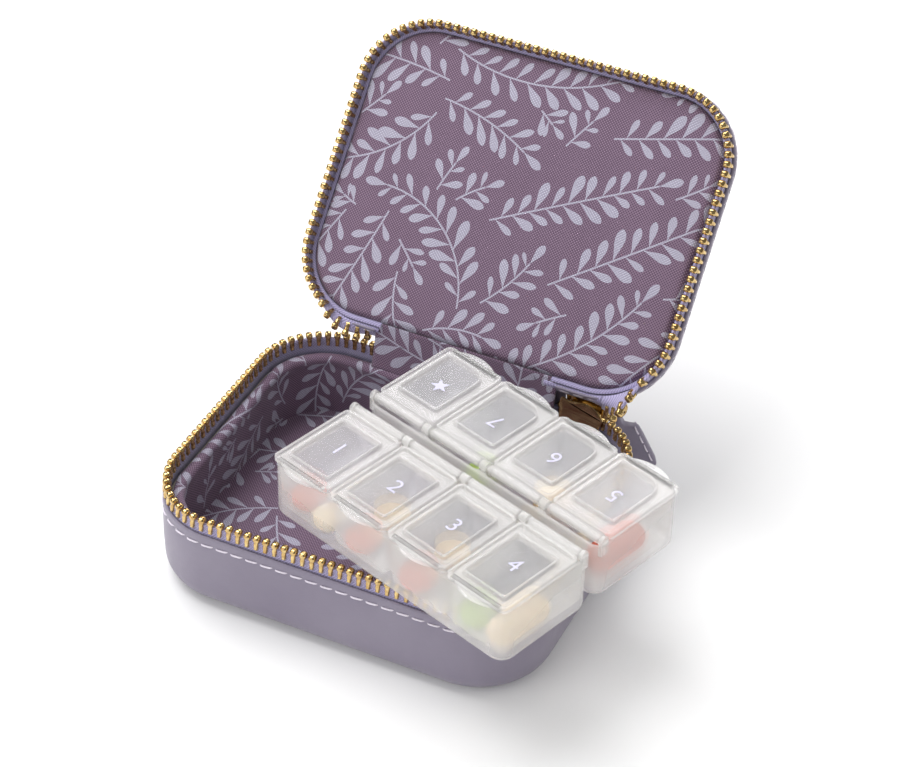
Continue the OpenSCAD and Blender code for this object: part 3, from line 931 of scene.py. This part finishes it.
def plate(name, top, y0, y1, soften, side):
    """A plate in the x-z plane, with a sunk field inside a raised rim on its outward side."""
    bm = bmesh.new()
    outline = slider_plan(top)
    a = [bm.verts.new((x, y0, z)) for x, z in outline]
    b = [bm.verts.new((x, y1, z)) for x, z in outline]
    face_a, face_b = bm.faces.new(a), bm.faces.new(b[::-1])
    bridge_loops(bm, b, a)
    bmesh.ops.recalc_face_normals(bm, faces=bm.faces)
    face = face_a if side < 0 else face_b
    bmesh.ops.inset_individual(bm, faces=[face], thickness=RIM, depth=0)
    bmesh.ops.inset_individual(bm, faces=[face], thickness=RIM_SLOPE, depth=-SUNK)
    face.material_index = 1
    hard = [e for e in bm.edges if len(e.link_faces) == 2 and e.calc_face_angle(0) > radians(50)]
    bmesh.ops.bevel(bm, geom=hard, offset=soften, segments=3, affect="EDGES", profile=0.5, clamp_overlap=True)
    slider_part(name, bm, [GOLD, MIRROR])


def block(name, x0, x1, y0, y1, z0, z1):
    bm = bmesh.new()
    bmesh.ops.create_cube(bm, size=1)
    for v in bm.verts:
        x, y, z = v.co + Vector((0.5, 0.5, 0.5))
        v.co = (x0 + x * (x1 - x0), y0 + y * (y1 - y0), z0 + z * (z1 - z0))
    bmesh.ops.bevel(bm, geom=bm.edges[:], offset=0.12, segments=3, affect="EDGES")
    slider_part(name, bm, [GOLD])


plate("slider_inner_plate", 31.5, -2.5, -2.04, 0.2, -1)
plate("slider_outer_plate", 30.5, 1.87, 2.5, 0.26, 1)
block("slider_post", -1.2, 4, -2.1, 1.95, 27.84, 28.22)
block("slider_lip_outer", -5.3, 3.4, 1.05, 2.0, 23.32, 23.74)
block("slider_lip_inner", -5.3, 3.4, -2.15, -1.25, 23.32, 23.74)

# the bridge that holds the pull: a flat strap arched over the outer plate
STRAP = [(-3.0, 0.05), (-3.0, 1.1), (-2.6, 1.9), (-1.4, 2.2), (0.8, 2.25), (3.0, 2.2), (4.2, 1.9),
         (4.55, 1.1), (4.55, 0.05)]
STRAP_Z, STRAP_HALF, STRAP_THICK = 27.2, 1.05, 0.34
bm = bmesh.new()
sections = []
for i, (x, y) in enumerate(STRAP):
    before, after = STRAP[max(0, i - 1)], STRAP[min(len(STRAP) - 1, i + 1)]
    d = (Vector(after) - Vector(before)).normalized()
    out = Vector((-d.y, d.x)) * STRAP_THICK
    sections.append([bm.verts.new((x + a * out.x, y + a * out.y, STRAP_Z + b * STRAP_HALF))
                     for a, b in ((-1, -1), (1, -1), (1, 1), (-1, 1))])
bm.faces.new(sections[0][::-1])
for a, b in zip(sections, sections[1:]):
    bridge_loops(bm, a, b)
bm.faces.new(sections[-1])
bmesh.ops.recalc_face_normals(bm, faces=bm.faces)
long_edges = [e for e in bm.edges if e.calc_face_angle(0) > radians(60)]
bmesh.ops.bevel(bm, geom=long_edges, offset=0.16, segments=2, affect="EDGES")
slider_part("slider_bridge", bm, [GOLD], "slider_bridge", y=2.52)

# ------------------------------------------------------------------ pull ring and tab
RING_R, WIRE_R = 3.5, 0.6
TURN, LEAN = radians(22), radians(25)
T = Vector((cos(TURN), sin(TURN), 0))
N = Vector((-sin(TURN), cos(TURN), 0))
Z = Vector((0, 0, 1))
ring_centre = Vector([v / mm for v in joints["ring_swing"]["pos_m"]]) + T * RING_R


def pull_ring(n=48, sides=14):
    """A round wire ring in the plane of T and Z."""
    path = [ring_centre + (T * cos(2 * pi * i / n) + Z * sin(2 * pi * i / n)) * RING_R for i in range(n)]
    rows = []
    for i, p in enumerate(path):
        d = (path[(i + 1) % n] - path[i - 1]).normalized()
        a = d.cross(Z)
        if a.length < 0.2:
            a = d.cross(Vector((0, 1, 0)))
        a.normalize()
        b = d.cross(a)
        turns = [2 * pi * j / sides for j in range(sides)]
        rows.append([tuple(p + a * WIRE_R * cos(g) + b * WIRE_R * sin(g)) for g in turns])
    place(make("pull_ring", *grid(rows, close_u=True, close_v=True), GOLD), "ring", "zip_metal", "pull_ring")


pull_ring()

# leather tab: local x across, y through, z up from the ring's wire
TAB_X = T * cos(LEAN) + Z * sin(LEAN)
TAB_Z = Z * cos(LEAN) - T * sin(LEAN)
TAB_AT = ring_centre - TAB_Z * RING_R
TAB = [(1.62, 1.08), (0.6, 1.12), (-1.2, 1.12), (-2.5, 1.3), (-3.2, 2.4), (-3.9, 3.7), (-4.8, 4.25),
       (-7, 4.4), (-10, 4.4), (-13, 4.4), (-15.6, 4.4), (-17.3, 4.05), (-18.7, 3.1), (-19.6, 1.75),
       (-19.98, 0.4)]
EYE_R, EYE_END, FLAT = 1.75, -1.2, 1.05  # the loop round the wire, and half the flat part's thickness


def tab_point(x, y, z):
    return tuple(TAB_AT + TAB_X * x + N * y + TAB_Z * z)


def tab_half(z):
    """Half thickness: the loop round the wire, then two layers pressed flat, thinner at the tip."""
    if z > EYE_END:
        return sqrt(max(0.05, EYE_R ** 2 - z * z))
    return 0.75 if z < -19 else FLAT + 0.55 * exp(-((z - EYE_END) / EYE_END))


turns = [squarish(2 * pi * i / 20, 0.38) for i in range(20)]
verts, faces = grid([[tab_point(w * c, tab_half(z) * s, z) for c, s in turns] for z, w in TAB], close_v=True)
tab = make("pull_tab", verts, faces + caps(verts, 20), LEATHER, flip=True)
place(sharp(tab, 60), "tab", "leather", "pull_tab")


def tab_stitch(side_x, side_y, middle):
    rows = []
    for q in (-1 + i / 3 for i in range(7)):
        y = side_y * (1.16 + 0.16 - 0.3 * abs(q) ** 4)
        rows.append([tab_point(side_x * 3.5 + 0.2 * cos(g), y - 0.2 * sin(g), middle + q * 1.2)
                     for g in (2 * pi * j / 8 for j in range(8))])
    return rows


rows = [tab_stitch(x, y, -5.0 - 3.1 * k) for y in (-1, 1) for x in (-1, 1) for k in range(4)]
thread("tab_stitching", rows, "tab", "tab_stitching")

# ------------------------------------------------------------------ pill box
ax = joints["box_removal"]["axis"]
U = Vector((ax[0], ax[1], 0))  # along the rows
V = Vector((-ax[1], ax[0], 0))  # across them
BL, ROW, TH = 75.3, 29.45, 16.0  # a tray's length, width and height
GAP_HALF = 0.8  # from the centre line to a tray
BAR, BARZ = 3.4, 16.9  # a flip lid's hinge, out from the centre line and up
PU = BL / 4
pins = [Vector(j["pos_m"]) for n, j in joints.items() if n.startswith("flap_")]
B0 = sum(pins, Vector()) / len(pins) / mm - Z * BARZ  # centre of the box's underside


def rowp(sign):
    """Row frame to world: a along the row, b outward from the centre line, z up."""
    return lambda a, b, z: tuple(B0 + U * (sign * a) + V * (sign * b) + Z * z)


def rrect(a0, a1, b0, b1, r, k=5, second=None):
    """Rounded rectangle points, counterclockwise; the second corner's radius may differ."""
    out = []
    for i, (cx, cy, t0) in enumerate(((a1, b0, -90), (a1, b1, 0), (a0, b1, 90), (a0, b0, 180))):
        q = second if i == 1 and second else r
        sx, sy = (1 if cx == a1 else -1), (1 if cy == b1 else -1)
        for t in (radians(t0 + 90 * j / k) for j in range(k + 1)):
            out.append((cx - sx * q + q * cos(t), cy - sy * q + q * sin(t)))
    return out


def stack(rings, bottom=True, top=True, top_look=0):
    """Bridges equal rings [(points, z), ...]: vertices, faces and material numbers."""
    verts, faces = grid([[(x, y, z) for x, y in pts] for pts, z in rings], close_v=True)
    low, high = caps(verts, len(rings[0][0]))
    index = [0] * (len(faces) + bottom) + [top_look] * top
    return verts, faces + [low] * bottom + [high] * top, index


def box_part(x0, x1, y0, y1, z0, z1, c=0.15):
    """Small block with chamfered edges."""
    levels = ((z0, c), (z0 + c, 0), (z1 - c, 0), (z1, c))
    return stack([(rrect(x0 + g, x1 - g, y0 + g, y1 - g, c, 2), z) for z, g in levels])


def barrel(x0, x1, r, n=20, c=0.12):
    """A cylinder along the flip lids' hinge."""
    turns = [2 * pi * i / n for i in range(n)]
    ends = ((x0, r - c), (x0 + c, r), (x1 - c, r), (x1, r - c))
    rows = [[(x, BAR + q * cos(t), BARZ + q * sin(t)) for t in turns] for x, q in ends]
    verts, faces = grid(rows, close_v=True)
    faces += caps(verts, n)
    return verts, faces, [0] * len(faces)


def outward(ob):
    """Turns every face outward."""
    bm = bmesh.new()
    bm.from_mesh(ob.data)
    bmesh.ops.recalc_face_normals(bm, faces=bm.faces)
    bm.to_mesh(ob.data)
    bm.free()
    return ob


def solid(name, parts, to_world, mats, angle):
    verts, faces, index = join(parts)
    ob = make(name, [to_world(*p) for p in verts], faces, mats, index=index)
    return sharp(outward(ob), angle)


def quarter(n, first=0):
    """Cosine and sine at even steps of a quarter turn."""
    return [(cos(t), sin(t)) for t in (radians(90 * i / n) for i in range(first, n + 1))]


def tray(name, sign):
    a0, a1, b0, b1 = -BL / 2, BL / 2, GAP_HALF, GAP_HALF + ROW
    wall_, between, foot_r = 1.1, 0.65, 2.4  # outer wall, half the wall between compartments, foot's rounding

    def ring(g, r, z):
        return rrect(a0 + g, a1 - g, b0 + g, b1 - g, r, 8), z

    rings = [ring(3, 1.2, 0.0)]
    for c, s in quarter(6):
        g = foot_r * (1 - s)
        rings.append(ring(g, 4 - g * 0.8, foot_r * (1 - c)))
    rings += [ring(0, 4, 15.6), ring(0.12, 3.9, 15.88), ring(0.3, 3.7, TH)]
    parts = [stack(rings, top=False)]
    loops = [rings[-1][0]]
    for k in range(4):
        x0 = a0 + k * PU + (wall_ if k == 0 else between)
        x1 = a0 + (k + 1) * PU - (wall_ if k == 3 else between)
        y0, y1 = b0 + wall_, b1 - wall_

        def cup(g, r, z):
            return rrect(x0 + g, x1 - g, y0 + g, y1 - g, r), z

        rings = [cup(-0.15, 1.9, TH), cup(0, 1.8, TH - 0.2), cup(0.1, 1.8, 4.2)]
        for c, s in quarter(5, 1):
            g = 0.1 + 1.9 * (1 - c)
            rings.append(cup(g, max(0.6, 1.8 - g * 0.6), 4.0 - 2.6 * s))
        parts.append(stack(rings, bottom=False))
        loops.append(rings[0][0])
    # the rim's top face, with a hole for each compartment
    verts, faces = [], []
    for points in loops:
        faces.append(list(range(len(verts), len(verts) + len(points))))
        verts += [Vector(p) for p in points]
    flat, _, cut, _, _, ids = delaunay_2d_cdt(verts, [], faces, 0, 1e-5)
    top = [tuple(q) for q, d in zip(cut, ids) if list(d) == [0]]
    parts.append(([(p.x, p.y, TH) for p in flat], top, [0] * len(top)))
    # ears that hold the flip lids' pins
    for k in range(5):
        x = a0 + k * PU
        x0, x1 = (x + 0.2, x + 1.35) if k == 0 else (x - 1.35, x - 0.2) if k == 4 else (x - 1.05, x + 1.05)
        parts.append(box_part(x0, x1, BAR - 1.25, BAR + 1.25, 13, BARZ - 0.1))
        parts.append(barrel(x0, x1, 1.35))
    # tongues that join the trays
    for x in (a1 - 9, a0 + 14):
        parts.append(box_part(x, x + 4, 0.06, 1.0, 5, 11, 0.2))
    place(solid(name, parts, rowp(sign), [MILK], 40), "pill_box", "tray_plastic", name)


tray("tray_near", -1)
tray("tray_far", 1)

FW = PU - 0.5  # a flip lid's width
FY0, FY1 = BAR + 1.6, GAP_HALF + ROW - 0.3  # its inner and outer edge
LIP_R, LIP_HALF = 11.0, FW / 2 - 1.7
# (inset, corner radius, height) of the lid's edge and field, and of the ridge round its window
FIELD = ((0.15, 1.5, 16.1), (0, 1.6, 16.25), (0, 1.6, 17.3), (0.15, 1.5, 17.48), (0.85, 1.1, 17.5),
         (1.05, 1.0, 17.3), (1.15, 0.9, 16.98))
RIDGE = ((2.35, 1.2, 16.98), (2.42, 1.1, 17.2), (2.46, 1.1, 18.1), (2.6, 1.0, 18.28), (2.95, 0.8, 18.28),
         (3.1, 0.7, 18.12), (3.16, 0.7, 17.2), (3.3, 0.6, 17.02))
BELOW = (3.2, 0.6, 16.1)


def star():
    """A flat five-pointed star."""
    tips = [(2.5 if i % 2 == 0 else 1.05, radians(90 + 36 * i)) for i in range(10)]
    points = [(r * cos(t), r * sin(t)) for r, t in tips]
    verts, faces, _ = stack([(points, 0), (points, 0.05)])
    return verts, faces


def numeral(text):
    """A numeral as a thin mesh, its lower face at z = 0."""
    curve = bpy.data.curves.new("mark", "FONT")
    curve.body = text
    curve.size = 6.2
    curve.extrude = 0.025
    curve.offset = -0.02
    curve.align_x, curve.align_y = "CENTER", "CENTER"
    ob = link("mark", curve)
    bpy.context.view_layer.update()
    me = ob.evaluated_get(bpy.context.evaluated_depsgraph_get()).to_mesh()
    verts = [(x, y, z + 0.025) for x, y, z in (v.co for v in me.vertices)]
    faces = [tuple(f.vertices) for f in me.polygons]
    ob.to_mesh_clear()
    bpy.data.objects.remove(ob)
    bpy.data.curves.remove(curve)
    return verts, faces


def flap(row, i, sign, middle, mark):
    """Flip lid i of a row, centred on middle; the far row's windows have one rounder corner."""
    name = f"flap_{row}_{i}"
    to_world = rowp(sign)
    x0, x1 = middle - FW / 2, middle + FW / 2

    def field(g, r, z):
        return rrect(x0 + g, x1 - g, FY0 + g, FY1 - g, r), z

    def ridge(g, r, z):
        wide = (0.9 + r) * 2.4 if row == "far" else None
        return rrect(x0 + g, x1 - g, FY0 + g + 1.3, FY1 - g - 0.2, r, 5, wide), z

    parts = [stack([field(*p) for p in FIELD] + [ridge(*p) for p in RIDGE], bottom=False, top_look=1)]
    parts.append(stack([field(*FIELD[0]), ridge(*BELOW)], bottom=False, top_look=1))
    # neck, barrel and pins
    neck, tube, pin = (PU - 3.6) / 2, (PU - 3.4) / 2, (PU - 0.8) / 2
    parts.append(box_part(middle - neck, middle + neck, BAR, FY0 + 0.3, 16.2, 17.25, 0.12))
    parts.append(barrel(middle - tube, middle + tube, 1.2))
    parts.append(barrel(middle - pin, middle + pin, 0.6, 14))
    # thumb lip: a shallow crescent over the outer edge
    lip = []
    for g, z in ((0.25, 16.1), (0.0, 16.3), (0.0, 17.1), (0.22, 17.32)):
        half = LIP_HALF - g
        xs = [-half + 2 * half * k / 12 for k in range(13)]
        points = [(middle + x, FY1 - 9.2 + sqrt((LIP_R - g) ** 2 - x * x)) for x in xs]
        points += [(middle + half, FY1 + 0.02), (middle - half, FY1 + 0.02)]
        lip.append((points, z))
    parts.append(stack(lip))
    place(solid(name, parts, to_world, [FLAP, CLEAR], 40), name, "flap_plastic", name)
    # printed mark on the window: right is -a, up is towards the centre line
    verts, faces = star() if mark == "star" else numeral(mark)
    out = (FY0 + 1.3 + FY1 - 0.2) / 2 - 1.0
    verts = [to_world(middle - x, out - y, 17.03 + z) for x, y, z in verts]
    place(outward(make(f"mark_{row}_{i}", verts, faces, PRINT, smooth=False)), name, "thread")


for i in range(1, 5):
    flap("near", i, -1, -(i - 2.5) * PU, str(i))
    flap("far", i, 1, (i - 2.5) * PU, "star" if i == 1 else str(9 - i))


# ------------------------------------------------------------------ tablets
FLOOR_Z = 1.42  # just above a compartment's floor


def tipped(rows, low, high):
    """A closed grid with a point at each end."""
    n = len(rows[0])
    verts, faces = grid(rows, close_v=True)
    last = len(verts)
    faces += [(j, (j + 1) % n, last) for j in range(n)]
    faces += [(last - n + (j + 1) % n, last - n + j, last + 1) for j in range(n)]
    return verts + [low, high], faces, [0] * len(faces)


def around(n):
    return [2 * pi * j / n for j in range(n)]


def tablet(x, y, r, h):
    """Domed tablet: a rim band and two shallow domes."""
    dome = 0.22 * h
    half = [(r * 0.93 * t, dome * t ** 2.2) for t in (i / 8 for i in range(1, 9))]
    half += [(r * 0.985, dome + 0.12), (r, dome + 0.3)]
    side = half + [(q, h - z) for q, z in half[::-1]]
    rows = [[(x + q * cos(g), y + q * sin(g), FLOOR_Z + z) for g in around(40)] for q, z in side]
    return tipped(rows, (x, y, FLOOR_Z), (x, y, FLOOR_Z + h))


def caplet(x, y, length, r):
    """Oblong tablet, long in y, with a scored line across its middle."""
    rows = []
    for v in (length / 2 * (-1 + 2 * i / 44) for i in range(1, 44)):
        end = length / 2 - abs(v)
        q = r * sqrt(max(0.0, 1 - ((r - end) / r) ** 2)) if end < r else r
        score = 1 - 0.09 * exp(-(v / 0.3) ** 2)
        rows.append([(x - q * cos(g), y + v, FLOOR_Z + r + q * score * sin(g) * 0.93) for g in around(28)])
    return tipped(rows, (x, y - length / 2, FLOOR_Z + r), (x, y + length / 2, FLOOR_Z + r))


def pills(name, parts, look, slot):
    to_world = rowp(1)
    place(solid(name, parts, to_world, [look], 50), "pill_box", slot, name)


coral = [tablet(-32, -23, 4.2, 4.4), tablet(-12.5, -24, 4.3, 4.4), tablet(5.5, -24, 4.4, 4.6)]
cream = [tablet(-23.5, -24.4, 4, 4), tablet(-12.8, -14.5, 4.4, 4.4), tablet(6, -13.5, 4.2, 4.2)]
cream += [tablet(9.5, 17, 4.6, 4.2)]
green = [tablet(23.6, -23, 4.1, 4.6), tablet(-9, 12, 4, 4.2)]
pills("tablets_coral", coral, CORAL, "tablet_coral")
pills("tablets_cream", cream, CREAM, "tablet_cream")
pills("tablet_green", green, GREEN, "tablet_green")
pills("caplet_cream", [caplet(32.4, -19.5, 17.4, 3.55)], CREAM, "tablet_cream")
pills("caplet_coral", [caplet(31.5, 14.5, 17.4, 3.75)], CORAL, "tablet_coral")

# ------------------------------------------------------------------ boards, which show only at cut edges
for n in ("base_board", "lid_board"):
    frame["nodes"][n].data.materials.clear()
    frame["nodes"][n].data.materials.append(BOARD)

# ------------------------------------------------------------------ floor and light
bm = bmesh.new()
bmesh.ops.create_grid(bm, x_segments=8, y_segments=8, size=3)
me = bpy.data.meshes.new("floor")
bm.to_mesh(me)
bm.free()
ground = link("floor", me)
ground.location.z = -0.0001
me.materials.append(Look("floor").shade({
    "Base Color": (0.8, 0.8, 0.8, 1), "Roughness": 0.9, "Specular IOR Level": 0.1,
    "Emission Color": (1, 1, 1, 1), "Emission Strength": 0.06}))

# a white studio, darker in what the metal and plastic mirror
BRIGHT, LESS_IN_MIRRORS = 0.68, -0.46
world = bpy.data.worlds.new("studio")
scene.world = world
world.use_nodes = True
nodes, links = world.node_tree.nodes, world.node_tree.links
studio = nodes["Background"]
studio.inputs[0].default_value = (1, 1, 1, 1)
amount = nodes.new("ShaderNodeMath")
amount.operation = "MULTIPLY_ADD"
amount.inputs[1].default_value = LESS_IN_MIRRORS
amount.inputs[2].default_value = BRIGHT
links.new(nodes.new("ShaderNodeLightPath").outputs["Is Glossy Ray"], amount.inputs[0])
links.new(amount.outputs[0], studio.inputs[1])


def lamp(name, loc, target, size, power):
    light = bpy.data.lights.new(name, "AREA")
    light.shape = "RECTANGLE"
    light.size, light.size_y = size
    light.energy = power
    ob = link(name, light)
    ob.location = loc
    ob.rotation_mode = "QUATERNION"
    ob.rotation_quaternion = (Vector(target) - Vector(loc)).to_track_quat("-Z", "Y")


lamp("key", (-0.5, 0.1, 1.05), (0, 0, 0.02), (0.9, 0.9), 12)
lamp("fill", (-0.6, -0.9, 0.6), (0, 0, 0.03), (0.9, 0.6), 3)
lamp("rim", (-0.2, 0.9, 0.7), (0, 0, 0.05), (0.5, 0.3), 3.5)
